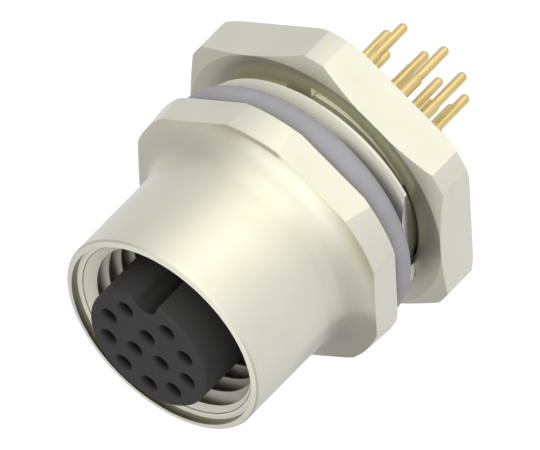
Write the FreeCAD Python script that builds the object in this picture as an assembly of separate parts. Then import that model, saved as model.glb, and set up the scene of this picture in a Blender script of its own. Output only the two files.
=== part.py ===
import FreeCAD, Part
import math
import os

# Round 12-way M12 panel socket with straight board pins.
# Frame: the plug axis is Y. The mating face looks to -Y, the board pins to +Y,
# and the coding groove is up (+Z). The origin is on the axis, in the plane of
# the flange's rear face, where the panel sits. Depths below are measured from
# the front rim of the sleeve, and FLANGE_REAR puts them in the frame.

# ---- driving dimensions, mm ----
FLANGE_REAR = 11.05          # depth of the flange's rear face, y = 0 in the frame

SLEEVE_R = 6.87              # outside of the front sleeve
RIM_EDGE = 0.18              # small outer radius of the front rim
RIM_BORE_R = 6.44            # counterbore inside the rim
RIM_BORE_DEPTH = 0.56
STEP_R = 6.10                # flat step inside the counterbore
M12_MINOR_R = 5.46           # M12x1 internal thread, minor radius
LEAD_IN_END = 1.20           # depth where the 45 degree lead-in meets the thread
CAVITY_DEPTH = 7.60          # floor of the mating cavity
WEB_END = 8.60               # rear of the web that the carrier passes through
WEB_BORE_R = 4.25
REAR_BORE_R = 5.50           # bore that takes the carrier's shoulder

FLANGE_FRONT = 9.05
FLANGE_AF = 17.0             # across flats
FLANGE_CORNER_R = 9.14       # corners turned to this radius
FLANGE_FRONT_EDGE = 0.05     # front corners are nearly sharp
FLANGE_REAR_EDGE = 0.26      # rear corners are turned back a little
FLARE_R = 1.92               # fillet from sleeve into flange, cut by the flats
SEAL_SEAT_R = 6.50           # neck under the flange seal
LEAD_R = 6.97                # the thread's lead cone starts at this radius
LEAD_START = 13.21
BARREL_R = 7.95              # M16x1.5 external thread, outside
BARREL_START = 13.885        # end of the lead cone
BARREL_END = 17.75
BARREL_CHAMFER = 0.45
FLAT_X = 7.00                # flat along the barrel on the +X side, keys it in the panel

SEAL_SECTION_R = 1.00        # flange seal, 13 x 2
SEAL_RING_R = 7.50

NUT_FRONT = 14.54
NUT_REAR = 17.46
NUT_AF = 18.0
NUT_CORNER_R = 10.02
NUT_FACE_R = 9.00            # front face runs out to this circle
NUT_CORNER_DROP = 0.42       # how far the front corners are turned back
NUT_REAR_DROP = 0.17
NUT_BORE_R = 8.00
NUT_CSINK_R = 8.20

CARRIER_R = 4.165
CARRIER_FRONT = -1.30
CARRIER_SHOULDER_R = 5.45
CARRIER_SHOULDER = 9.60
CARRIER_END = 13.00
CARRIER_EDGE = 0.12
KEY_W = 1.60                 # coding groove
KEY_DEPTH = 0.85

HOLDER_R = 5.47
HOLDER_STEP = 16.60
HOLDER_BOSS_R = 4.70
HOLDER_END = 18.10

CARRIER_SEAL_SECTION_R = 0.48
CARRIER_SEAL_RING_R = 4.68

OUTER_PIN_R = 2.93           # nine ways
OUTER_PITCH = 37.4           # degrees
INNER_PIN_R = 1.10           # three ways
HOLE_R = 0.56
CONTACT_R = 0.50             # spring socket
CONTACT_BORE_R = 0.31
CONTACT_FRONT = 0.10
CONTACT_BORE_END = 5.60
COLLAR_R = 0.68
COLLAR_START = 12.20
SHANK_R = 0.385              # stand-off part of the board pin
SHANK_END = 22.30            # the board seats here
TAIL_R = 0.30
TAIL_END = 25.10

V = FreeCAD.Vector


def y(depth):
    return depth - FLANGE_REAR


def revolve(profile):
    """Solid of revolution about Y from (radius, depth) points or arcs."""
    edges = []
    here = None
    for item in profile:
        if item[0] == "arc":
            mid, end = item[1], item[2]
            a, m, b = (V(p[0], y(p[1]), 0) for p in (here, mid, end))
            edges.append(Part.Arc(a, m, b).toShape())
            here = end
        else:
            if here is not None:
                a, b = V(here[0], y(here[1]), 0), V(item[0], y(item[1]), 0)
                if (a - b).Length > 1e-7:
                    edges.append(Part.LineSegment(a, b).toShape())
            here = item
    first, last = edges[0].Vertexes[0].Point, V(here[0], y(here[1]), 0)
    start = V(profile[0][0], y(profile[0][1]), 0)
    if (start - last).Length > 1e-7:
        edges.append(Part.LineSegment(last, start).toShape())
    face = Part.Face(Part.Wire(Part.__sortEdges__(edges)))
    return face.revolve(V(0, 0, 0), V(0, 1, 0), 360)


def rod(radius, d0, d1, x=0.0, z=0.0):
    return Part.makeCylinder(radius, d1 - d0, V(x, y(d0), z), V(0, 1, 0))


def hexagon(across_flats, d0, d1):
    """Hexagonal prism with corners up and down."""
    r = across_flats / 2 / math.cos(math.radians(30))
    pts = [V(r * math.sin(math.radians(60 * i)), y(d0), r * math.cos(math.radians(60 * i)))
           for i in range(7)]
    return Part.Face(Part.makePolygon(pts)).extrude(V(0, d1 - d0, 0))


def arc_mid(cx, cd, r, deg):
    return (cx + r * math.cos(math.radians(deg)), cd + r * math.sin(math.radians(deg)))


# ---- way positions, seen along +Y from the mating side: x right, z up ----
ways = []
for i in range(9):
    ang = 90 + (360 - 8 * OUTER_PITCH) / 2 + OUTER_PITCH * i
    ways.append((OUTER_PIN_R * math.cos(math.radians(ang)), OUTER_PIN_R * math.sin(math.radians(ang))))
for ang in (90, 210, 330):
    ways.append((INNER_PIN_R * math.cos(math.radians(ang)), INNER_PIN_R * math.sin(math.radians(ang))))

parts = {}

# ---- housing: one turned piece, sleeve, hexagonal flange and threaded barrel ----
# The flare runs out past the flats, so the flats cut it as they cut the flange.
s45 = math.sqrt(0.5)
turned = revolve([
    (RIM_BORE_R, 0.0),
    (SLEEVE_R - RIM_EDGE, 0.0),
    ("arc", (SLEEVE_R - RIM_EDGE + RIM_EDGE * s45, RIM_EDGE - RIM_EDGE * s45), (SLEEVE_R, RIM_EDGE)),
    (SLEEVE_R, FLANGE_FRONT - FLARE_R),
    ("arc", (SLEEVE_R + FLARE_R - FLARE_R * s45, FLANGE_FRONT - FLARE_R + FLARE_R * s45),
     (SLEEVE_R + FLARE_R, FLANGE_FRONT)),
    (FLANGE_CORNER_R - FLANGE_FRONT_EDGE, FLANGE_FRONT),
    (FLANGE_CORNER_R, FLANGE_FRONT + FLANGE_FRONT_EDGE),
    (FLANGE_CORNER_R, FLANGE_REAR - FLANGE_REAR_EDGE * 0.7),
    (FLANGE_CORNER_R - FLANGE_REAR_EDGE, FLANGE_REAR),
    (SEAL_SEAT_R, FLANGE_REAR),
    (SEAL_SEAT_R, LEAD_START),
    (LEAD_R, LEAD_START),
    (BARREL_R, BARREL_START),
    (BARREL_R, BARREL_END - BARREL_CHAMFER),
    (BARREL_R - BARREL_CHAMFER, BARREL_END),
    (REAR_BORE_R + 0.2, BARREL_END),
    (REAR_BORE_R, BARREL_END - 0.2),
    (REAR_BORE_R, WEB_END),
    (WEB_BORE_R, WEB_END),
    (WEB_BORE_R, CAVITY_DEPTH),
    (M12_MINOR_R, CAVITY_DEPTH),
    (M12_MINOR_R, LEAD_IN_END),
    (STEP_R, RIM_BORE_DEPTH),
    (RIM_BORE_R, RIM_BORE_DEPTH),
])
housing = turned.common(hexagon(FLANGE_AF, -1, BARREL_END + 1))
flat_cut = Part.makeBox(4.0, BARREL_END - LEAD_START + 1.5, 18.0,
                        V(FLAT_X, y(LEAD_START - 0.5), -9.0))
parts["housing"] = housing.cut(flat_cut)

# ---- hexagonal nut on the barrel ----
nut_body = revolve([
    (NUT_CSINK_R, NUT_FRONT),
    (NUT_FACE_R, NUT_FRONT),
    (NUT_CORNER_R, NUT_FRONT + NUT_CORNER_DROP),
    (NUT_CORNER_R, NUT_REAR - NUT_REAR_DROP),
    (NUT_CORNER_R - 2.2 * NUT_REAR_DROP, NUT_REAR),
    (NUT_CSINK_R, NUT_REAR),
    (NUT_BORE_R, NUT_REAR - (NUT_CSINK_R - NUT_BORE_R)),
    (NUT_BORE_R, NUT_FRONT + (NUT_CSINK_R - NUT_BORE_R)),
])
parts["hex_nut"] = nut_body.common(hexagon(NUT_AF, NUT_FRONT - 1, NUT_REAR + 1))

# ---- seals ----
parts["flange_seal"] = Part.makeTorus(
    SEAL_RING_R, SEAL_SECTION_R, V(0, y(FLANGE_REAR + SEAL_SECTION_R), 0), V(0, 1, 0))
parts["carrier_seal"] = Part.makeTorus(
    CARRIER_SEAL_RING_R, CARRIER_SEAL_SECTION_R,
    V(0, y((WEB_END + CARRIER_SHOULDER) / 2), 0), V(0, 1, 0))

# ---- contact carrier with coding groove and twelve ways ----
carrier = revolve([
    (0.0, CARRIER_FRONT),
    (CARRIER_R - CARRIER_EDGE, CARRIER_FRONT),
    (CARRIER_R, CARRIER_FRONT + CARRIER_EDGE),
    (CARRIER_R, CARRIER_SHOULDER),
    (CARRIER_SHOULDER_R, CARRIER_SHOULDER),
    (CARRIER_SHOULDER_R, CARRIER_END),
    (0.0, CARRIER_END),
])
# groove: straight sides and a half-round floor, as deep as the mating cavity
groove_floor = CARRIER_R - KEY_DEPTH + KEY_W / 2
groove = rod(KEY_W / 2, CARRIER_FRONT - 1, CAVITY_DEPTH - 0.4, 0, groove_floor).fuse(
    Part.makeBox(KEY_W, CAVITY_DEPTH - 0.4 - CARRIER_FRONT + 1, 2.0,
                 V(-KEY_W / 2, y(CARRIER_FRONT - 1), groove_floor)))
cutters = [groove]
for x, z in ways:
    cutters.append(rod(HOLE_R, CARRIER_FRONT - 1, COLLAR_START + 0.1, x, z))
    cutters.append(rod(COLLAR_R + 0.03, COLLAR_START, CARRIER_END + 1, x, z))
for c in cutters:
    carrier = carrier.cut(c)
parts["contact_carrier"] = carrier.removeSplitter()

# ---- rear holder that backs the contacts ----
holder = revolve([
    (0.0, CARRIER_END),
    (HOLDER_R, CARRIER_END),
    (HOLDER_R, HOLDER_STEP),
    (HOLDER_BOSS_R, HOLDER_STEP),
    (HOLDER_BOSS_R, HOLDER_END - 0.15),
    (HOLDER_BOSS_R - 0.15, HOLDER_END),
    (0.0, HOLDER_END),
])
for x, z in ways:
    holder = holder.cut(rod(SHANK_R + 0.02, CARRIER_END - 1, HOLDER_END + 1, x, z))
parts["contact_holder"] = holder.removeSplitter()


# ---- one turned contact: spring socket, collar, stand-off shank, board tail ----
def contact(x, z):
    body = revolve([
        (CONTACT_BORE_R, CONTACT_FRONT),
        (CONTACT_R, CONTACT_FRONT),
        (CONTACT_R, COLLAR_START),
        (COLLAR_R, COLLAR_START),
        (COLLAR_R, CARRIER_END),
        (SHANK_R, CARRIER_END),
        (SHANK_R, SHANK_END - 0.08),
        (SHANK_R - 0.05, SHANK_END),
        (TAIL_R, SHANK_END),
        (TAIL_R, TAIL_END - TAIL_R),
        ("arc", arc_mid(0, TAIL_END - TAIL_R, TAIL_R, 45), (0.0, TAIL_END)),
        (0.0, CONTACT_BORE_END),
        (CONTACT_BORE_R, CONTACT_BORE_END),
    ])
    slot = Part.makeBox(2 * CONTACT_R + 0.4, 3.6, 0.12, V(-CONTACT_R - 0.2, y(CONTACT_FRONT) - 0.1, -0.06))
    body = body.cut(slot)
    body.translate(V(x, 0, z))
    return body


for i, (x, z) in enumerate(ways):
    parts["contact_%02d" % (i + 1)] = contact(x, z)

os.makedirs("parts", exist_ok=True)
for name, shape in parts.items():
    assert shape.isValid(), name
    assert len(shape.Solids) == 1, (name, len(shape.Solids))
    if shape.ShapeType != "Solid":
        shape = shape.Solids[0]
    shape.exportStep("parts/%s.step" % name)
    b = shape.BoundBox
    print("%-16s %9.2f mm3  x %.2f..%.2f  y %.2f..%.2f  z %.2f..%.2f" % (
        name, shape.Volume, b.XMin, b.XMax, b.YMin, b.YMax, b.ZMin, b.ZMax))
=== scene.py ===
import math

import bmesh
import bpy
import numpy as np
from mathutils import Matrix, Vector


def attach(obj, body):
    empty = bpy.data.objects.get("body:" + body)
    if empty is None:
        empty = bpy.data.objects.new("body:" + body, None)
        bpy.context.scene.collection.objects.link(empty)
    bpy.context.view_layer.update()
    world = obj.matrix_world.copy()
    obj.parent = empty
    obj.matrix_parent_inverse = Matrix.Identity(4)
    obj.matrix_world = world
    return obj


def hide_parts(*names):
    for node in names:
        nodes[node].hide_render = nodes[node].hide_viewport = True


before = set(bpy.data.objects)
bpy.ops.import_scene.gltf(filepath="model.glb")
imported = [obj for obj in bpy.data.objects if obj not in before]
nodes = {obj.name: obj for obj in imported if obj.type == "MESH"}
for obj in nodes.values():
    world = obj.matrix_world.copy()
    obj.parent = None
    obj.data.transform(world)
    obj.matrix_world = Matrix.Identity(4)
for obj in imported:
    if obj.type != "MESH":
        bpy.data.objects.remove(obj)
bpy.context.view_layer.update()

# Frame: Y is the plug axis, the mating face looks to -Y, the coding groove is up (+Z).
# Meshes are made in millimetres, with depths counted from the front rim, and then
# brought to metres in the frame by the function finish_mesh.
Y0 = 11.05
MM = 0.001


def rad(deg):
    return math.radians(deg)


# ---------------------------------------------------------------- mesh helpers

def new_object(name, verts, faces):
    me = bpy.data.meshes.new(name)
    me.from_pydata([tuple(v) for v in verts], [], faces)
    me.validate()
    ob = bpy.data.objects.new(name, me)
    bpy.context.scene.collection.objects.link(ob)
    return ob


def tidy(ob, dist=1e-4):
    bm = bmesh.new()
    bm.from_mesh(ob.data)
    bmesh.ops.remove_doubles(bm, verts=bm.verts, dist=dist)
    bmesh.ops.dissolve_degenerate(bm, dist=dist * 0.5, edges=bm.edges)
    loose = [v for v in bm.verts if not v.link_faces]
    bmesh.ops.delete(bm, geom=loose, context="VERTS")
    bmesh.ops.recalc_face_normals(bm, faces=bm.faces)
    bm.to_mesh(ob.data)
    bm.free()
    return ob


def columns(name, angles, column, closed=True):
    """Skin over one outline a column. column(angle) gives (radius, depth) points, the same count each time."""
    pts = [column(a) for a in angles]
    n, m = len(angles), len(pts[0])
    verts = []
    for a, col in zip(angles, pts):
        c, s = math.cos(rad(a)), math.sin(rad(a))
        verts += [(r * c, d - Y0, r * s) for r, d in col]
    faces = []
    for i in range(n):
        j = (i + 1) % n
        for k in range(m if closed else m - 1):
            l = (k + 1) % m
            faces.append((i * m + k, i * m + l, j * m + l, j * m + k))
    return tidy(new_object(name, verts, faces))


def helix(name, profile, pitch, centre, angle, length, step=4.0):
    """Closed sweep of a (radius, offset) outline along a right-hand helix about Y.
    At the start its middle is at depth centre and at angle, and it goes deeper as the angle falls."""
    count = int(math.ceil(length / pitch * 360 / step))
    m = len(profile)
    verts, faces = [], []
    for i in range(count + 1):
        turn = i * step
        a = rad(angle - turn)
        d = centre + pitch * turn / 360
        verts += [(r * math.cos(a), d + o - Y0, r * math.sin(a)) for r, o in profile]
    for i in range(count):
        for k in range(m):
            l = (k + 1) % m
            faces.append((i * m + k, i * m + l, (i + 1) * m + l, (i + 1) * m + k))
    faces.append(tuple(range(m)))
    faces.append(tuple(count * m + k for k in reversed(range(m))))
    ob = new_object(name, verts, faces)
    bm = bmesh.new()
    bm.from_mesh(ob.data)
    bmesh.ops.recalc_face_normals(bm, faces=bm.faces)
    bm.to_mesh(ob.data)
    bm.free()
    return ob


def ring(name, points, step=2.0):
    """Closed ring with a (radius, depth) outline."""
    angles = [i * step for i in range(int(360 / step))]
    return columns(name, angles, lambda a: points)


def box(name, x0, x1, d0, d1, z0, z1):
    v = [(x, d - Y0, z) for x in (x0, x1) for d in (d0, d1) for z in (z0, z1)]
    f = [(0, 1, 3, 2), (4, 6, 7, 5), (0, 4, 5, 1), (2, 3, 7, 6), (0, 2, 6, 4), (1, 5, 7, 3)]
    ob = new_object(name, v, f)
    return tidy(ob)


def cut(ob, tool, op="DIFFERENCE"):
    """Exact boolean, applied; the tool is removed."""
    mod = ob.modifiers.new("cut", "BOOLEAN")
    mod.operation = op
    mod.solver = "EXACT"
    mod.object = tool
    dg = bpy.context.evaluated_depsgraph_get()
    me = bpy.data.meshes.new_from_object(ob.evaluated_get(dg))
    ob.modifiers.clear()
    old = ob.data
    ob.data = me
    bpy.data.meshes.remove(old)
    me.name = ob.name
    tm = tool.data
    bpy.data.objects.remove(tool)
    bpy.data.meshes.remove(tm)
    return ob


def finish_mesh(ob, sharp=28.0, dist=1e-4):
    tidy(ob, dist)
    ob.data.transform(Matrix.Diagonal((MM, MM, MM, 1.0)))
    ob.data.shade_smooth()
    ob.data.set_sharp_from_angle(angle=rad(sharp))
    return ob


def arc(cx, cd, r, a0, a1, n):
    """Points on an arc in the (radius, depth) plane; 0 degrees is outward and 90 is deeper."""
    return [(cx + r * math.cos(rad(a0 + (a1 - a0) * i / n)), cd + r * math.sin(rad(a0 + (a1 - a0) * i / n)))
            for i in range(n + 1)]


def hex_r(a, af):
    """Radius at which a ray at angle a meets a hexagon with flats at 0, 60, ... degrees."""
    d = (a + 30.0) % 60.0 - 30.0
    return af / 2 / math.cos(rad(d))


def angle_list(keys, step):
    """Even columns, with extra ones at the key angles either side of each flat's middle."""
    out = [i * step for i in range(int(round(360 / step)))]
    extra = []
    for f in range(6):
        for k in keys:
            extra += [f * 60 + k, f * 60 - k]
    extra = sorted(set(round(e % 360, 5) for e in extra))
    out = [o for o in out if all(abs((o - e + 180) % 360 - 180) > step * 0.35 for e in extra)]
    return sorted(out + extra)


# ---------------------------------------------------------------- housing

SLEEVE_R, RIM_EDGE = 6.87, 0.18
RIM_BORE_R, RIM_BORE_DEPTH, STEP_R = 6.44, 0.56, 6.10
M12_R, LEAD_IN_END = 5.46, 1.20
CAVITY_DEPTH, WEB_END, WEB_BORE_R, REAR_BORE_R = 7.60, 8.60, 4.25, 5.50
FLANGE_FRONT, FLANGE_REAR, FLANGE_AF, FLANGE_CORNER = 9.05, 11.05, 17.0, 9.14
CORNER_FRONT, CORNER_REAR = 8.93, 9.05
FLARE = 1.92
NECK_R, LEAD_R, LEAD_START = 6.50, 6.97, 13.21
BARREL_R, BARREL_START, BARREL_END = 7.95, 13.885, 17.75
BARREL_ROOT = 7.14
FLAT_X = 7.0
EDGE = 0.045

flare_pts = arc(SLEEVE_R + FLARE, FLANGE_FRONT - FLARE, FLARE, 180, 90, 24)
sleeve_rows = [0.6, 1.6, 3.0, 4.6, 6.0, 6.8]


def flare_depth(r):
    u = SLEEVE_R + FLARE - r
    if u <= 0:
        return FLANGE_FRONT
    return FLANGE_FRONT - FLARE + math.sqrt(max(0.0, FLARE * FLARE - u * u))


def rear_depth(r):
    """Depth of the turned rear corner of the flange at radius r."""
    inner = FLANGE_CORNER - 0.26
    return FLANGE_REAR - max(0.0, r - inner) * 0.7


def housing_column(a):
    """The corners of the flange are turned slightly conical, narrower in front."""
    hx = hex_r(a, FLANGE_AF)
    h = min(hx, CORNER_FRONT)
    col = []
    # front rim
    col.append((RIM_BORE_R + EDGE * 0.5, 0.0))
    col += arc(SLEEVE_R - RIM_EDGE, RIM_EDGE + 0.055, RIM_EDGE, 300, 360, 8)
    col += [(SLEEVE_R, d) for d in sleeve_rows]
    # flare, cut by the flats
    for r, d in flare_pts:
        col.append((r, d) if r <= h else (h, flare_depth(h)))
    front = flare_depth(h)
    if h > SLEEVE_R + FLARE:
        col.append((max(SLEEVE_R + FLARE, min(h - EDGE, CORNER_FRONT)), FLANGE_FRONT))
        col.append((h, FLANGE_FRONT + EDGE))
    else:
        col.append((h, front))
        col.append((h, front + EDGE))
    # where the flat gives way to the corner
    if hx <= CORNER_FRONT:
        col.append((hx, FLANGE_FRONT + 2 * EDGE))
    elif hx >= CORNER_REAR:
        col.append((CORNER_REAR - 0.004, FLANGE_REAR - 0.25))
    else:
        f = (hx - CORNER_FRONT) / (CORNER_REAR - CORNER_FRONT)
        col.append((hx, FLANGE_FRONT + 2 * EDGE + f * (FLANGE_REAR - 0.25 - FLANGE_FRONT - 2 * EDGE)))
    # rear edge of the flange
    h = min(hx, CORNER_REAR)
    rd = rear_depth(h)
    inner = min(h, FLANGE_CORNER - 0.26)
    col.append((h, rd - EDGE))
    col.append((h - EDGE * 0.35, rd - EDGE * 0.35) if inner < h - 1e-6 else (h - EDGE * 0.3, rd - EDGE * 0.3))
    col.append((inner - EDGE, FLANGE_REAR))
    col.append((7.6, FLANGE_REAR))
    # neck under the seal, lead cone, barrel
    col += [(NECK_R + 0.1, FLANGE_REAR), (NECK_R, FLANGE_REAR + 0.1)]
    col += [(NECK_R, LEAD_START), (LEAD_R, LEAD_START)]
    col += [(BARREL_R, BARREL_START), (BARREL_R, BARREL_END - 0.45), (BARREL_R - 0.45, BARREL_END)]
    # rear bore and web
    col += [(REAR_BORE_R + 0.2, BARREL_END), (REAR_BORE_R, BARREL_END - 0.2), (REAR_BORE_R, 13.0)]
    col += [(REAR_BORE_R, WEB_END), (WEB_BORE_R, WEB_END), (WEB_BORE_R, CAVITY_DEPTH)]
    # mating cavity, lead-in and step
    col += [(M12_R, CAVITY_DEPTH), (M12_R, 4.5), (M12_R, LEAD_IN_END), (STEP_R - 0.05, RIM_BORE_DEPTH + 0.05), (STEP_R, RIM_BORE_DEPTH)]
    col += [(RIM_BORE_R - 0.02, RIM_BORE_DEPTH), (RIM_BORE_R, RIM_BORE_DEPTH - 0.02), (RIM_BORE_R, EDGE * 0.5)]
    return col


corner_key = math.degrees(math.acos(FLANGE_AF / 2 / CORNER_REAR))
front_key = math.degrees(math.acos(FLANGE_AF / 2 / CORNER_FRONT))
flare_key = math.degrees(math.acos(FLANGE_AF / 2 / (SLEEVE_R + FLARE)))
rear_key = math.degrees(math.acos(FLANGE_AF / 2 / (FLANGE_CORNER - 0.26)))
angles = angle_list([corner_key, front_key, (corner_key + front_key) / 2, corner_key + 0.5, flare_key, rear_key], 1.5)
housing = columns("housing_shell", angles, housing_column)

# flat along the barrel
cut(housing, box("flat_tool", FLAT_X, 9.5, 12.6, BARREL_END + 1, -9, 9))


def external_groove(start, length):
    """Groove of the 1.5 mm panel thread: 60 degree flanks, root 0.375 wide."""
    top = 8.10
    w = 0.1875 + (top - BARREL_ROOT) * math.tan(rad(30))
    outline = [(BARREL_ROOT, -0.1875), (top, -w), (top, w), (BARREL_ROOT, 0.1875)]
    centre = 13.335 + 1.5 * start
    return helix("groove_tool", outline, 1.5, centre, 28.8 - 360 * start, length, 4.0)


cut(housing, external_groove(-1, 6.4))
# the stretch inside the nut is turned down to the thread root
cut(housing, ring("relief_tool", [(BARREL_ROOT, 14.525), (8.4, 14.525), (8.4, 17.20), (BARREL_ROOT, 17.20)], 3.0))


def internal_groove(start, length):
    """Groove of the mating thread inside the sleeve, 1.17 mm a turn."""
    root, mouth = 6.12, 5.40
    w0 = 0.155
    w1 = w0 + (root - mouth) * math.tan(rad(30))
    outline = [(root, -w0), (mouth, -w1), (mouth, w1), (root, w0)]
    # a crest's rear edge is at depth 2.28 at 191.1 degrees; the groove's middle is half a groove deeper
    centre = 2.28 + w0 + (root - M12_R) * math.tan(rad(30)) + 1.17 * start
    return helix("m12_tool", outline, 1.17, centre, 191.1 - 360 * start, length, 4.0)


cut(housing, internal_groove(-1.75, 6.17))
finish_mesh(housing, 13.0)

# ---------------------------------------------------------------- nut

NUT_FRONT, NUT_REAR, NUT_AF, NUT_CORNER = 14.54, 17.46, 18.0, 10.02
NUT_CREST, NUT_ROOT = 7.19, 8.03
NUT_DROP, NUT_REAR_DROP = 0.42, 0.17


def nut_column(a):
    h = min(hex_r(a, NUT_AF), NUT_CORNER)
    slope = NUT_DROP / (NUT_CORNER - 9.0)
    fd = NUT_FRONT + max(0.0, h - 9.0) * slope
    rslope = NUT_REAR_DROP / (2.2 * NUT_REAR_DROP)
    rin = NUT_CORNER - 2.2 * NUT_REAR_DROP
    rd = NUT_REAR - max(0.0, h - rin) * rslope
    inner = min(h, rin)
    e = 0.05
    col = [(NUT_CREST, NUT_FRONT), (8.2, NUT_FRONT), (9.0 - e if h < 9.0 + 1e-6 else 8.98, NUT_FRONT)]
    if h > 9.0 + 1e-6:
        col.append((9.0 + min(0.02, (h - 9.0) * 0.3), NUT_FRONT + min(0.02, (h - 9.0) * 0.3) * slope))
    else:
        col.append((9.0 - e * 0.99, NUT_FRONT))
    col.append((max(h - e, 8.985), NUT_FRONT + max(0.0, h - e - 9.0) * slope))
    col.append((h - e * 0.3, fd + e * 0.3))
    col.append((h, fd + e))
    col.append((h, rd - e))
    col.append((h - e * 0.3, rd - e * 0.3))
    col.append((inner - e, NUT_REAR))
    col += [(8.35, NUT_REAR), (NUT_CREST, NUT_REAR - 1.16)]
    return col


nut_key = math.degrees(math.acos(NUT_AF / 2 / NUT_CORNER))
nut_rear_key = math.degrees(math.acos(NUT_AF / 2 / (NUT_CORNER - 2.2 * NUT_REAR_DROP)))
nut = columns("panel_nut", angle_list([0.0, nut_key, nut_key + 0.5, nut_rear_key], 1.5), nut_column)
top = 7.06
w = 0.03 + (NUT_ROOT - top) * math.tan(rad(30))
cut(nut, helix("nut_tool", [(NUT_ROOT, -0.03), (top, -w), (top, w), (NUT_ROOT, 0.03)],
               1.5, NUT_FRONT, 90.0, 4.6, 4.0))
finish_mesh(nut, 13.0)

# ---------------------------------------------------------------- seals


def torus(name, ring_r, section, depth, n=160, m=40, dent=None):
    verts, faces = [], []
    for i in range(n):
        a = 2 * math.pi * i / n
        for k in range(m):
            b = 2 * math.pi * k / m
            r = ring_r + section * math.cos(b)
            d = depth + section * math.sin(b)
            verts.append((r * math.cos(a), d - Y0, r * math.sin(a)))
    for i in range(n):
        j = (i + 1) % n
        for k in range(m):
            l = (k + 1) % m
            faces.append((i * m + k, i * m + l, j * m + l, j * m + k))
    ob = new_object(name, verts, faces)
    tidy(ob)
    return finish_mesh(ob, 180.0)


seal = torus("flange_seal_ring", 7.5, 1.0, 12.05, 240, 56)

# ---------------------------------------------------------------- ways, carrier

ways = []
for i in range(9):
    a = rad(90 + (360 - 8 * 37.4) / 2 + 37.4 * i)
    ways.append((2.93 * math.cos(a), 2.93 * math.sin(a)))
for a in (90, 210, 330):
    ways.append((1.10 * math.cos(rad(a)), 1.10 * math.sin(rad(a))))


def tube(name, x, z, outline, n=48):
    """Closed turned piece about a line parallel to Y through (x, z)."""
    ob = columns(name, [i * 360 / n for i in range(n)], lambda a: outline)
    ob.data.transform(Matrix.Translation((x, 0, z)))
    return ob


CARRIER_R = 4.165
carrier_out = [(0.0, -1.30), (2.0, -1.30), (CARRIER_R - 0.24, -1.30)]
carrier_out += arc(CARRIER_R - 0.24, -1.06, 0.24, 270, 360, 10)
carrier_out += [(CARRIER_R, 2.0), (CARRIER_R, 5.0), (CARRIER_R, 9.60), (5.45, 9.60), (5.45, 13.0), (0.0, 13.0)]
carrier = columns("carrier_insert", [i * 1.875 for i in range(192)], lambda a: carrier_out)

# coding groove: half-round floor, sharp mouth on one side and softened on the other
KEY_W, KEY_DEPTH = 1.60, 0.85
floor_c = CARRIER_R - KEY_DEPTH + KEY_W / 2
p0 = Vector((KEY_W / 2 * math.cos(rad(215)), floor_c + KEY_W / 2 * math.sin(rad(215))))
p1, p2 = p0 + 0.30 * Vector((-0.574, 0.819)), Vector((-1.32, 4.02))
pts = [tuple((1 - t) ** 2 * p0 + 2 * t * (1 - t) * p1 + t * t * p2) for t in [1 - i / 12 for i in range(12)]]
pts += [(KEY_W / 2 * math.cos(rad(215 + 145 * i / 18)), floor_c + KEY_W / 2 * math.sin(rad(215 + 145 * i / 18)))
        for i in range(19)]
pts += [(KEY_W / 2, 4.9), (-1.32, 4.9)]
verts = [(x, d - Y0, z) for d in (-2.0, 7.2) for x, z in pts]
m = len(pts)
faces = [(k, (k + 1) % m, m + (k + 1) % m, m + k) for k in range(m)]
faces += [tuple(reversed(range(m))), tuple(m + k for k in range(m))]
cut(carrier, tidy(new_object("key_tool", verts, faces)))
# contact holes
for x, z in ways:
    hole = [(0.0, -1.6), (0.60, -1.6), (0.585, -1.32), (0.565, -1.22), (0.50, -0.70), (0.45, -0.55), (0.45, 0.02), (0.52, 0.02),
            (0.52, 12.3), (0.0, 12.3)]
    cut(carrier, tube("hole_tool", x, z, hole, 36))
finish_mesh(carrier, 14.0)

# ---------------------------------------------------------------- contacts


def contact_mesh(name, x, z):
    out = [(0.31, 0.16), (0.35, 0.10), (0.46, 0.10), (0.50, 0.15), (0.50, 3.4), (0.50, 12.2),
           (0.68, 12.2), (0.68, 12.99), (0.385, 13.0), (0.385, 18.0), (0.385, 22.18), (0.36, 22.27), (0.32, 22.30),
           (0.30, 22.32), (0.30, 24.8)]
    out += arc(0.0, 24.8, 0.30, 0, 90, 8)[1:]
    out += [(0.0, 5.60), (0.31, 5.60), (0.31, 3.4)]
    ob = columns(name, [i * 9.0 for i in range(40)], lambda a: out)
    cut(ob, box("slot_tool", -0.8, 0.8, -0.2, 3.6, -0.06, 0.06))
    ob.data.transform(Matrix.Translation((x, 0, z)))
    return finish_mesh(ob, 26.0)


contacts = [contact_mesh("pin_contact_%02d" % (i + 1), x, z) for i, (x, z) in enumerate(ways)]

# ---------------------------------------------------------------- materials


def srgb(r, g, b):
    def f(c):
        c /= 255.0
        return c / 12.92 if c <= 0.04045 else ((c + 0.055) / 1.055) ** 2.4
    return (f(r), f(g), f(b), 1.0)


def t_math(t, op, a, b=None, c=None):
    n = t.nodes.new("ShaderNodeMath")
    n.operation = op
    for i, v in enumerate((a, b, c)):
        if v is None:
            continue
        if isinstance(v, (int, float)):
            n.inputs[i].default_value = v
        else:
            t.links.new(v, n.inputs[i])
    return n.outputs[0]


def t_smooth(t, v, lo, hi, a=0.0, b=1.0):
    n = t.nodes.new("ShaderNodeMapRange")
    n.interpolation_type = "SMOOTHSTEP"
    for name, value in (("From Min", lo), ("From Max", hi), ("To Min", a), ("To Max", b)):
        n.inputs[name].default_value = value
    t.links.new(v, n.inputs["Value"])
    return n.outputs["Result"]


def t_mix(t, fac, a, b):
    n = t.nodes.new("ShaderNodeMix")
    n.data_type = "RGBA"
    t.links.new(fac, n.inputs["Factor"])
    for sock, v in ((n.inputs[6], a), (n.inputs[7], b)):
        if isinstance(v, tuple):
            sock.default_value = v
        else:
            t.links.new(v, sock)
    return n.outputs[2]


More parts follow.
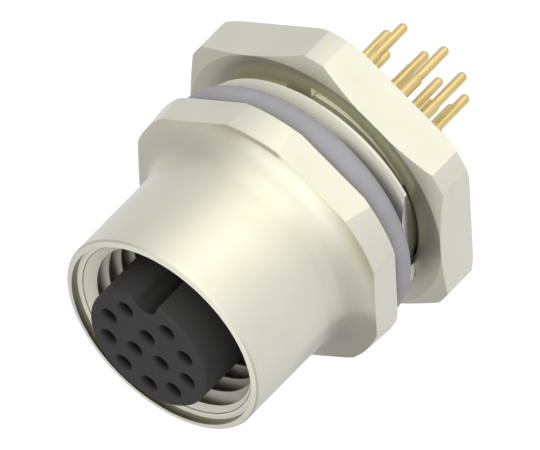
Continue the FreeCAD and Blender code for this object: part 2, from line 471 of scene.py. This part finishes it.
def t_oval(t, x, y, cx, cy, rx, ry):
    """Distance from (cx, cy), in units of the radii rx and ry."""
    u = t_math(t, "MULTIPLY", t_math(t, "SUBTRACT", x, cx), 1.0 / rx)
    v = t_math(t, "MULTIPLY", t_math(t, "SUBTRACT", y, cy), 1.0 / ry)
    return t_math(t, "SQRT", t_math(t, "ADD", t_math(t, "MULTIPLY", u, u), t_math(t, "MULTIPLY", v, v)))


class Nodes:
    """Small builder for a node material on the object's own coordinates, in millimetres."""

    def __init__(self, name):
        self.mat = bpy.data.materials.new(name)
        self.mat.use_nodes = True
        self.t = self.mat.node_tree
        self.t.nodes.clear()
        self.out = self.add("ShaderNodeOutputMaterial")
        self.bsdf = self.add("ShaderNodeBsdfPrincipled")
        self.link(self.bsdf.outputs["BSDF"], self.out.inputs["Surface"])
        tc = self.add("ShaderNodeTexCoord")
        mp = self.add("ShaderNodeMapping")
        mp.inputs["Scale"].default_value = (1000.0, 1000.0, 1000.0)
        self.link(tc.outputs["Object"], mp.inputs["Vector"])
        self.mm = mp.outputs["Vector"]
        self.normal = None

    def add(self, kind, **values):
        n = self.t.nodes.new(kind)
        for k, v in values.items():
            setattr(n, k, v)
        return n

    def link(self, a, b):
        self.t.links.new(a, b)

    def scaled(self, sx, sy, sz):
        mp = self.add("ShaderNodeMapping")
        mp.inputs["Scale"].default_value = (sx, sy, sz)
        self.link(self.mm, mp.inputs["Vector"])
        return mp.outputs["Vector"]

    def noise(self, vector, scale, detail=3.0, rough=0.5, distortion=0.0):
        n = self.add("ShaderNodeTexNoise")
        n.inputs["Scale"].default_value = scale
        n.inputs["Detail"].default_value = detail
        n.inputs["Roughness"].default_value = rough
        n.inputs["Distortion"].default_value = distortion
        self.link(vector, n.inputs["Vector"])
        return n.outputs["Fac"]

    def ramp(self, fac, stops):
        n = self.add("ShaderNodeValToRGB")
        els = n.color_ramp.elements
        els[0].position, els[0].color = stops[0]
        els[1].position, els[1].color = stops[-1]
        for p, c in stops[1:-1]:
            e = els.new(p)
            e.color = c
        self.link(fac, n.inputs["Fac"])
        return n.outputs["Color"]

    def span(self, fac, lo, hi, a=0.3, b=0.7):
        n = self.add("ShaderNodeMapRange")
        n.inputs["From Min"].default_value = a
        n.inputs["From Max"].default_value = b
        n.inputs["To Min"].default_value = lo
        n.inputs["To Max"].default_value = hi
        self.link(fac, n.inputs["Value"])
        return n.outputs["Result"]

    def bump(self, height, strength, distance):
        n = self.add("ShaderNodeBump")
        n.inputs["Strength"].default_value = strength
        n.inputs["Distance"].default_value = distance
        self.link(height, n.inputs["Height"])
        if self.normal is not None:
            self.link(self.normal, n.inputs["Normal"])
        self.normal = n.outputs["Normal"]
        self.link(self.normal, self.bsdf.inputs["Normal"])


def turned_coordinate(nm):
    """(distance from the axis, depth) as separate outputs, for turning marks."""
    sep = nm.add("ShaderNodeSeparateXYZ")
    nm.link(nm.mm, sep.inputs[0])
    x2 = nm.add("ShaderNodeMath", operation="MULTIPLY")
    nm.link(sep.outputs[0], x2.inputs[0]); nm.link(sep.outputs[0], x2.inputs[1])
    z2 = nm.add("ShaderNodeMath", operation="MULTIPLY")
    nm.link(sep.outputs[2], z2.inputs[0]); nm.link(sep.outputs[2], z2.inputs[1])
    s = nm.add("ShaderNodeMath", operation="ADD")
    nm.link(x2.outputs[0], s.inputs[0]); nm.link(z2.outputs[0], s.inputs[1])
    r = nm.add("ShaderNodeMath", operation="SQRT")
    nm.link(s.outputs[0], r.inputs[0])
    return r.outputs[0], sep.outputs[1]


def nickel(name, base, dark, rough=0.30, metal=1.0, flare=False, cone_shade=False, gap_shade=False):
    nm = Nodes(name)
    r, depth = turned_coordinate(nm)
    comb = nm.add("ShaderNodeCombineXYZ")
    nm.link(r, comb.inputs[0]); nm.link(depth, comb.inputs[1])
    cloud = nm.noise(nm.scaled(0.35, 0.35, 0.35), 1.0, 4.0, 0.55)
    fine = nm.noise(nm.scaled(6.0, 6.0, 6.0), 1.0, 3.0, 0.6)
    marks = nm.noise(comb.outputs[0], 14.0, 2.0, 0.5)
    tone = nm.ramp(cloud, [(0.25, dark), (0.75, base)])
    if flare:
        # painted light on the flare: a painted highlight on top, next to the flange, and painted shade below
        t = nm.t
        axes = nm.add("ShaderNodeSeparateXYZ")
        nm.link(nm.mm, axes.inputs[0])
        turn_deg = t_math(t, "MULTIPLY", t_math(t, "ARCTAN2", axes.outputs[2], axes.outputs[0]), 180 / math.pi)
        ahead = t_smooth(t, depth, FLANGE_FRONT - Y0 + 0.002, FLANGE_FRONT - Y0 + 0.008, 1.0, 0.0)
        flare_highlight = t_math(t, "MULTIPLY", t_smooth(t, turn_deg, 22.0, 60.0), t_smooth(t, turn_deg, 82.0, 104.0, 1.0, 0.0))
        flare_highlight = t_math(t, "MULTIPLY", t_math(t, "MULTIPLY", flare_highlight, ahead), t_smooth(t, r, 7.25, 8.35))
        for side in (0.5, -0.5):
            # up to the flats, not on them
            reach = t_math(t, "ADD", t_math(t, "MULTIPLY", axes.outputs[0], side), t_math(t, "MULTIPLY", axes.outputs[2], 0.866))
            flare_highlight = t_math(t, "MULTIPLY", flare_highlight, t_smooth(t, reach, FLANGE_AF / 2 - 0.02, FLANGE_AF / 2 - 0.005, 1.0, 0.0))
        tone = t_mix(t, flare_highlight, tone, (0.98, 0.965, 0.85, 1))
        # painted shade on the lower side of the flare
        flare_shade = t_math(t, "MULTIPLY", t_smooth(t, turn_deg, -14.0, -2.0, 1.0, 0.0), t_smooth(t, turn_deg, -75.0, -50.0))
        amount = t_math(t, "ADD", t_smooth(t, depth, -9.0, -5.0, 0.0, 0.23), t_smooth(t, r, 7.4, 8.8, 0.0, 0.12))
        flare_shade = t_math(t, "MULTIPLY", t_math(t, "MULTIPLY", flare_shade, ahead), amount)
        tone = t_mix(t, flare_shade, tone, (0.0, 0.0, 0.0, 1))
        # painted shade on the flat remainder of the front face at the top corner
        corner_shade = t_math(t, "MULTIPLY", t_smooth(t, turn_deg, 75.0, 79.0), t_smooth(t, turn_deg, 106.0, 82.0))
        corner_shade = t_math(t, "MULTIPLY", t_math(t, "MULTIPLY", corner_shade, ahead), t_smooth(t, r, 8.46, 8.56, 0.0, 0.50))
        tone = t_mix(t, corner_shade, tone, (0.10, 0.10, 0.085, 1))
    if gap_shade:
        # painted shade behind the first turn of the barrel
        t = nm.t
        tone = t_mix(t, t_smooth(t, depth, 14.75 - Y0, 14.80 - Y0, 0.8, 0.0), tone, (0.13, 0.125, 0.075, 1))
    if cone_shade:
        # painted shade: the cone in front of the panel thread is darker beside the seal, on one side
        t = nm.t
        axes = nm.add("ShaderNodeSeparateXYZ")
        nm.link(nm.mm, axes.inputs[0])
        turn_deg = t_math(t, "MULTIPLY", t_math(t, "ARCTAN2", axes.outputs[2], axes.outputs[0]), 180 / math.pi)
        skew = t_math(t, "MULTIPLY_ADD", turn_deg, 0.010, depth)
        shade = t_smooth(t, skew, 13.36 - Y0 + 0.45, 13.88 - Y0 + 0.45, 0.88, 0.0)
        shade = t_math(t, "MULTIPLY", shade, t_smooth(t, depth, 13.80 - Y0, 13.87 - Y0, 1.0, 0.0))
        shade = t_math(t, "MULTIPLY", shade, t_math(t, "MULTIPLY", t_smooth(t, turn_deg, 76.0, 60.0), t_smooth(t, turn_deg, 4.0, 14.0)))
        tone = t_mix(t, shade, tone, (0.125, 0.13, 0.108, 1))
    nm.link(tone, nm.bsdf.inputs["Base Color"])
    mix = nm.add("ShaderNodeMath", operation="MULTIPLY_ADD")
    nm.link(nm.span(fine, -0.02, 0.02), mix.inputs[0])
    mix.inputs[1].default_value = 1.0
    nm.link(nm.span(marks, rough - 0.03, rough + 0.03), mix.inputs[2])
    nm.link(mix.outputs[0], nm.bsdf.inputs["Roughness"])
    nm.bsdf.inputs["Metallic"].default_value = metal
    nm.bump(marks, 0.12, 0.000004)
    nm.bump(fine, 0.10, 0.000003)
    return nm.mat


mat_body = nickel("nickel_plate_body", (0.645, 0.632, 0.492, 1), (0.610, 0.598, 0.465, 1), 0.48, 1.0, True)
mat_nut = nickel("nickel_plate_nut", (0.645, 0.632, 0.494, 1), (0.612, 0.600, 0.468, 1), 0.48)
# brighter copies of the nickel for the panel thread, the nut's thread and the relief are painted light; the thread's
# copy also carries painted shade on the cone, the relief's painted shade behind the first turn
mat_thread_light_and_shade = nickel("nickel_plate_thread_light_and_shade", (0.80, 0.785, 0.64, 1), (0.76, 0.745, 0.60, 1), 0.55, 0.30, cone_shade=True)
mat_cut_light = nickel("nickel_plate_cut_light", (0.93, 0.915, 0.76, 1), (0.89, 0.875, 0.72, 1), 0.60, 0.05)
mat_relief_light_and_shade = nickel("nickel_plate_relief_light_and_shade", (0.93, 0.915, 0.76, 1), (0.89, 0.875, 0.72, 1), 0.60, 0.05, gap_shade=True)
mat_bore = nickel("nickel_plate_bore", (0.63, 0.618, 0.50, 1), (0.595, 0.583, 0.47, 1), 0.40)
# darker copy for the nut's front face: painted shade
mat_face_shade = nickel("nickel_plate_face_shade", (0.545, 0.535, 0.420, 1), (0.518, 0.508, 0.398, 1), 0.42)
# brighter copy for the front rim: painted light
mat_rim_light = nickel("nickel_plate_rim_light", (0.80, 0.79, 0.635, 1), (0.77, 0.76, 0.61, 1), 0.48)
# darker copy for the undercut wall of the rim: painted shade
mat_wall_shade = nickel("nickel_plate_undercut_shade", (0.30, 0.295, 0.22, 1), (0.275, 0.27, 0.20, 1), 0.40)
mat_shade = nickel("nickel_plate_shaded", (0.085, 0.085, 0.055, 1), (0.07, 0.07, 0.045, 1), 0.50, 0.0)
# brighter diffuse copy for the step and lead-in of the bore: painted light
mat_step_light = nickel("nickel_plate_step_light", (0.77, 0.75, 0.615, 1), (0.74, 0.72, 0.59, 1), 0.60, 0.0)


def plastic(name, base, light, rough):
    nm = Nodes(name)
    cloud = nm.noise(nm.scaled(0.8, 0.8, 0.8), 1.0, 4.0, 0.6)
    grain = nm.noise(nm.scaled(16.0, 16.0, 16.0), 1.0, 2.0, 0.5)
    nm.link(nm.ramp(cloud, [(0.3, base), (0.7, light)]), nm.bsdf.inputs["Base Color"])
    nm.link(nm.span(grain, rough - 0.05, rough + 0.05), nm.bsdf.inputs["Roughness"])
    nm.bsdf.inputs["Specular IOR Level"].default_value = 0.17
    nm.bump(grain, 0.18, 0.00001)
    return nm.mat


mat_carrier = plastic("carrier_polyamide", (0.031, 0.0312, 0.0290, 1), (0.035, 0.0352, 0.0328, 1), 0.68)

nm = Nodes("carrier_hole_polyamide")
sep_h = nm.add("ShaderNodeSeparateXYZ")
nm.link(nm.mm, sep_h.inputs[0])
grain = nm.noise(nm.scaled(16.0, 16.0, 16.0), 1.0, 2.0, 0.5)
# painted light on the hole walls near the mouth, going to painted shade deeper in
hole_light_and_shade = t_smooth(nm.t, sep_h.outputs[1], -12.36, -11.80)
nm.link(t_mix(nm.t, hole_light_and_shade, (0.058, 0.058, 0.055, 1), (0.010, 0.010, 0.0098, 1)), nm.bsdf.inputs["Base Color"])
nm.link(nm.span(grain, 0.66, 0.74), nm.bsdf.inputs["Roughness"])
nm.bsdf.inputs["Specular IOR Level"].default_value = 0.10
mat_hole = nm.mat

nm = Nodes("nickel_barrel_flat_light_and_shade")
sep_f = nm.add("ShaderNodeSeparateXYZ")
nm.link(nm.mm, sep_f.inputs[0])
grain = nm.noise(nm.scaled(9.0, 9.0, 9.0), 1.0, 3.0, 0.5)
# painted light and shade on the flat along the barrel: lighter in front of the nut, painted shade under it, a
# near-black painted shadow on its lower part, and the plain tone past the nut and along the lowest strip
shade = t_mix(nm.t, t_smooth(nm.t, sep_f.outputs[1], 13.45 - Y0, 14.20 - Y0), (0.80, 0.79, 0.65, 1), (0.150, 0.150, 0.092, 1))
shade = t_mix(nm.t, t_math(nm.t, "MULTIPLY", t_smooth(nm.t, sep_f.outputs[2], -0.6, -2.1), t_smooth(nm.t, sep_f.outputs[1], 13.6 - Y0, 14.0 - Y0)),
              shade, (0.012, 0.012, 0.009, 1))
shade = t_mix(nm.t, t_smooth(nm.t, sep_f.outputs[1], 16.5 - Y0, 17.2 - Y0), shade, (0.66, 0.65, 0.53, 1))
nm.link(t_mix(nm.t, t_smooth(nm.t, sep_f.outputs[2], -2.45, -2.65), shade, (0.66, 0.65, 0.53, 1)), nm.bsdf.inputs["Base Color"])
nm.link(nm.span(grain, 0.52, 0.60), nm.bsdf.inputs["Roughness"])
nm.bsdf.inputs["Specular IOR Level"].default_value = 0.25
mat_flat_light_and_shade = nm.mat

nm = Nodes("carrier_groove_polyamide")
sep_h = nm.add("ShaderNodeSeparateXYZ")
nm.link(nm.mm, sep_h.inputs[0])
grain = nm.noise(nm.scaled(16.0, 16.0, 16.0), 1.0, 2.0, 0.5)
# painted light on the left side of the coding groove, painted shade on the right
groove_light_and_shade = t_smooth(nm.t, sep_h.outputs[0], -0.95, 0.75)
nm.link(t_mix(nm.t, groove_light_and_shade, (0.034, 0.034, 0.032, 1), (0.010, 0.010, 0.0096, 1)), nm.bsdf.inputs["Base Color"])
nm.link(nm.span(grain, 0.64, 0.72), nm.bsdf.inputs["Roughness"])
nm.bsdf.inputs["Specular IOR Level"].default_value = 0.10
mat_groove = nm.mat
mat_holder = plastic("holder_polyamide", (0.032, 0.032, 0.033, 1), (0.042, 0.042, 0.043, 1), 0.60)

nm = Nodes("seal_rubber")
cloud = nm.noise(nm.scaled(0.5, 0.5, 0.5), 1.0, 4.0, 0.6)
grain = nm.noise(nm.scaled(9.0, 9.0, 9.0), 1.0, 3.0, 0.6)
nm.link(nm.ramp(cloud, [(0.3, srgb(141, 141, 140)), (0.7, srgb(147, 147, 146))]), nm.bsdf.inputs["Base Color"])
nm.link(nm.span(grain, 0.66, 0.78), nm.bsdf.inputs["Roughness"])
nm.bsdf.inputs["Specular IOR Level"].default_value = 0.25
nm.bump(grain, 0.15, 0.00001)
mat_seal = nm.mat

nm = Nodes("gold_plate")
cloud = nm.noise(nm.scaled(1.4, 0.5, 1.4), 1.0, 3.0, 0.6)
draw = nm.noise(nm.scaled(9.0, 0.4, 9.0), 1.0, 2.0, 0.5)
nm.link(nm.ramp(cloud, [(0.3, (0.555, 0.43, 0.160, 1)), (0.7, (0.61, 0.48, 0.20, 1))]), nm.bsdf.inputs["Base Color"])
nm.link(nm.span(draw, 0.26, 0.36), nm.bsdf.inputs["Roughness"])
nm.bsdf.inputs["Metallic"].default_value = 1.0
nm.bump(draw, 0.10, 0.000004)
mat_gold = nm.mat


def paint(ob, mat):
    ob.data.materials.clear()
    ob.data.materials.append(mat)


paint(housing, mat_body)
# the panel thread, the relief and the rim get brighter copies of the nickel as painted light, the thread and the
# relief also more matt; the undercut wall a darker copy as painted shade; the step a brighter diffuse copy as painted
# light; the flat along the barrel painted light and shade; and the bore of the sleeve is smoother
for mat in (mat_thread_light_and_shade, mat_relief_light_and_shade, mat_bore, mat_rim_light, mat_wall_shade, mat_step_light, mat_flat_light_and_shade):
    housing.data.materials.append(mat)
for poly in housing.data.polygons:
    r = math.hypot(poly.center.x, poly.center.z) / MM
    d = poly.center.y / MM + Y0
    x, z = poly.center.x / MM, poly.center.z / MM
    if poly.normal.x > 0.99 and 6.9 < x < 7.05 and d > 12.5:
        poly.material_index = 7
    elif x > 6.2 and abs(z) < 3.6 and 14.5 < d < 17.2:
        poly.material_index = 7
    elif 6.6 < r < 7.97 and 13.2 < d < 17.5:
        poly.material_index = 1 if d < 14.52 else (2 if d < 17.2 else 0)
    elif r > 6.43 and r < 6.445 and 0.02 < d < 0.55:
        poly.material_index = 5
    elif 6.445 < r < 6.80 and d < 0.07 and -poly.normal.y > 0.9:
        poly.material_index = 4
    elif 6.06 < r < 6.095 and 0.561 < d < 0.61 and 0.6 < -poly.normal.y < 0.8:
        poly.material_index = 5
    elif r < 6.445 and 0.02 < d < 1.20 and -poly.normal.y > 0.6:
        poly.material_index = 6
    elif r < 6.445 and d < 7.59:
        poly.material_index = 3
paint(nut, mat_nut)
# the nut's thread takes a brighter copy as painted light, its front face a darker copy as painted shade, and its bore
# beside the barrel's flat a near-black copy as painted shade
for mat in (mat_cut_light, mat_face_shade, mat_shade):
    nut.data.materials.append(mat)
for poly in nut.data.polygons:
    r = math.hypot(poly.center.x, poly.center.z) / MM
    d = poly.center.y / MM + Y0
    if d > NUT_REAR - 1.2 and 0.6 < poly.normal.y < 0.8:
        poly.material_index = 0
    elif r < 8.10 and d > NUT_FRONT + 0.002 and poly.center.x / MM > 6.3 and abs(poly.center.z / MM) < 4.6:
        poly.material_index = 3
    elif r < 8.05 and d > NUT_FRONT + 0.002:
        poly.material_index = 1
    elif d < NUT_FRONT + 0.03:
        poly.material_index = 2
paint(seal, mat_seal)
paint(carrier, mat_carrier)
carrier.data.materials.append(mat_hole)
carrier.data.materials.append(mat_groove)
for poly in carrier.data.polygons:
    c = poly.center
    if -0.01234 < c.y < -0.0105 and abs(poly.normal.y) < 0.5 and min(
            math.hypot(c.x - x * MM, c.z - z * MM) for x, z in ways) < 0.00061:
        poly.material_index = 1
    elif abs(c.x) < 0.00125 and c.z > 0.0032 and abs(poly.normal.y) < 0.2 and math.hypot(c.x, c.z) < 0.00413:
        poly.material_index = 2
for c in contacts:
    paint(c, mat_gold)
for name, mat in (("contact_holder", mat_holder), ("carrier_seal", mat_seal)):
    ob = nodes[name]
    if not ob.data.materials:
        ob.data.materials.append(mat)
    for s in ob.material_slots:
        s.material = mat

for ob, body, node, slot in (
        [(housing, "body", "housing", "nickel_plated_body"),
         (nut, "nut", "hex_nut", "nickel_plated_nut"),
         (seal, "body", "flange_seal", "seal_rubber"),
         (carrier, "body", "contact_carrier", "carrier_plastic")]
        + [(c, "body", "contact_%02d" % (i + 1), "gold_plated_contact") for i, c in enumerate(contacts)]):
    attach(ob, body)
    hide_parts(node)

# ---------------------------------------------------------------- camera

right = Vector((0.7942, 0.6068, -0.0321))
up = Vector((-0.4448, 0.6164, 0.6497))
back = right.cross(up).normalized()
right = up.cross(back).normalized()
up = back.cross(right).normalized()
cam_data = bpy.data.cameras.new("camera")
cam_data.type = "ORTHO"
cam_data.ortho_scale = 540 / 17.5 * MM
cam_data.clip_start = 0.01
cam_data.clip_end = 5.0
cam = bpy.data.objects.new("camera", cam_data)
bpy.context.scene.collection.objects.link(cam)
turn = Matrix((right, up, back)).transposed().to_4x4()
cam.matrix_world = Matrix.Translation((-0.4823 * right - 0.4629 * up + 250 * back) * MM) @ turn
bpy.context.scene.camera = cam

# ---------------------------------------------------------------- floor, light


floor_z = -0.080
verts = [(x * 0.6, y * 0.6, floor_z) for x, y in ((-1, -1), (1, -1), (1, 1), (-1, 1))]
floor = new_object("floor", verts, [(0, 1, 2, 3)])
nm = Nodes("floor_pale")
sep_f = nm.add("ShaderNodeSeparateXYZ")
nm.link(nm.mm, sep_f.inputs[0])
cloud = nm.noise(nm.scaled(0.02, 0.02, 0.02), 1.0, 2.0, 0.5)
fx, fy = sep_f.outputs[0], t_math(nm.t, "ADD", sep_f.outputs[1], nm.span(cloud, -2.0, 2.0))
# painted shade on the floor: darker towards the front, under the object
floor_light_and_shade = t_mix(nm.t, t_smooth(nm.t, fy, -15.0, 45.0), (0.47, 0.47, 0.495, 1), (0.765, 0.77, 0.84, 1))
# a painted pool of light far in front
floor_light_and_shade = t_mix(nm.t, t_smooth(nm.t, t_oval(nm.t, fx, fy, -15.0, -195.0, 95.0, 95.0), 1.3, 0.5), floor_light_and_shade, (0.95, 0.94, 0.90, 1))
# a painted shadow under the object
floor_light_and_shade = t_mix(nm.t, t_smooth(nm.t, t_oval(nm.t, fx, fy, 16.0, -2.0, 40.0, 46.0), 0.25, 1.2), (0.33, 0.33, 0.345, 1), floor_light_and_shade)
nm.link(floor_light_and_shade, nm.bsdf.inputs["Base Color"])
nm.bsdf.inputs["Roughness"].default_value = 0.9
nm.bsdf.inputs["Specular IOR Level"].default_value = 0.1
paint(floor, nm.mat)

world = bpy.data.worlds.new("studio")
bpy.context.scene.world = world
world.use_nodes = True
wt = world.node_tree


def w_math(*args):
    return t_math(wt, *args)


def w_smooth(*args):
    return t_smooth(wt, *args)


def w_mix(*args):
    return t_mix(wt, *args)


# pale studio all round, dimmer to the front left, with one long soft light overhead
tc = wt.nodes.new("ShaderNodeTexCoord")
sep = wt.nodes.new("ShaderNodeSeparateXYZ")
wt.links.new(tc.outputs["Generated"], sep.inputs[0])
dx, dy, dz = sep.outputs
left = w_mix(w_smooth(dy, 0.0, 0.55), (0.60, 0.60, 0.68, 1), (1.02, 1.02, 1.16, 1))
right_wall = w_mix(w_smooth(dy, -0.8, 0.2), (0.84, 0.84, 0.95, 1), (1.13, 1.13, 1.28, 1))
walls = w_mix(w_smooth(dx, -0.1, 0.7), left, right_wall)
u = w_math("POWER", w_math("ABSOLUTE", w_math("MULTIPLY", w_math("SUBTRACT", dx, 0.12), 1 / 0.60)), 2.0)
v = w_math("POWER", w_math("ABSOLUTE", w_math("MULTIPLY", w_math("SUBTRACT", dy, -0.20), 1 / 1.05)), 2.0)
lobe = w_math("MULTIPLY", w_smooth(w_math("ADD", u, v), 0.4, 1.6, 1.0, 0.0), w_smooth(dz, -0.30, 0.0))
front = w_math("MULTIPLY", w_smooth(w_math("ABSOLUTE", w_math("SUBTRACT", dx, 0.05)), 0.15, 0.52, 1.0, 0.0),
               w_math("MULTIPLY", w_smooth(dy, -0.95, -0.60, 1.0, 0.0), w_smooth(dz, -0.35, -0.02)))
lobe = w_math("MAXIMUM", lobe, front)
wt.links.new(w_mix(lobe, walls, (1.80, 1.79, 1.84, 1)), wt.nodes["Background"].inputs["Color"])
wt.nodes["Background"].inputs["Strength"].default_value = 1.0


def area(name, direction, size, power, distance=0.25, colour=(1, 1, 1)):
    """Soft lamp shining on the object from that direction."""
    d = Vector(direction).normalized()
    data = bpy.data.lights.new(name, "AREA")
    data.shape = "DISK"
    data.size = size
    data.energy = power
    data.color = colour
    ob = bpy.data.objects.new(name, data)
    ob.location = d * distance
    ob.rotation_mode = "QUATERNION"
    ob.rotation_quaternion = d.to_track_quat("Z", "Y")
    bpy.context.scene.collection.objects.link(ob)
    return ob


area("key", (0.10, 0.30, 0.95), 0.30, 0.05, 0.45, (1.0, 0.985, 0.93))

bpy.context.scene.view_settings.view_transform = "Standard"
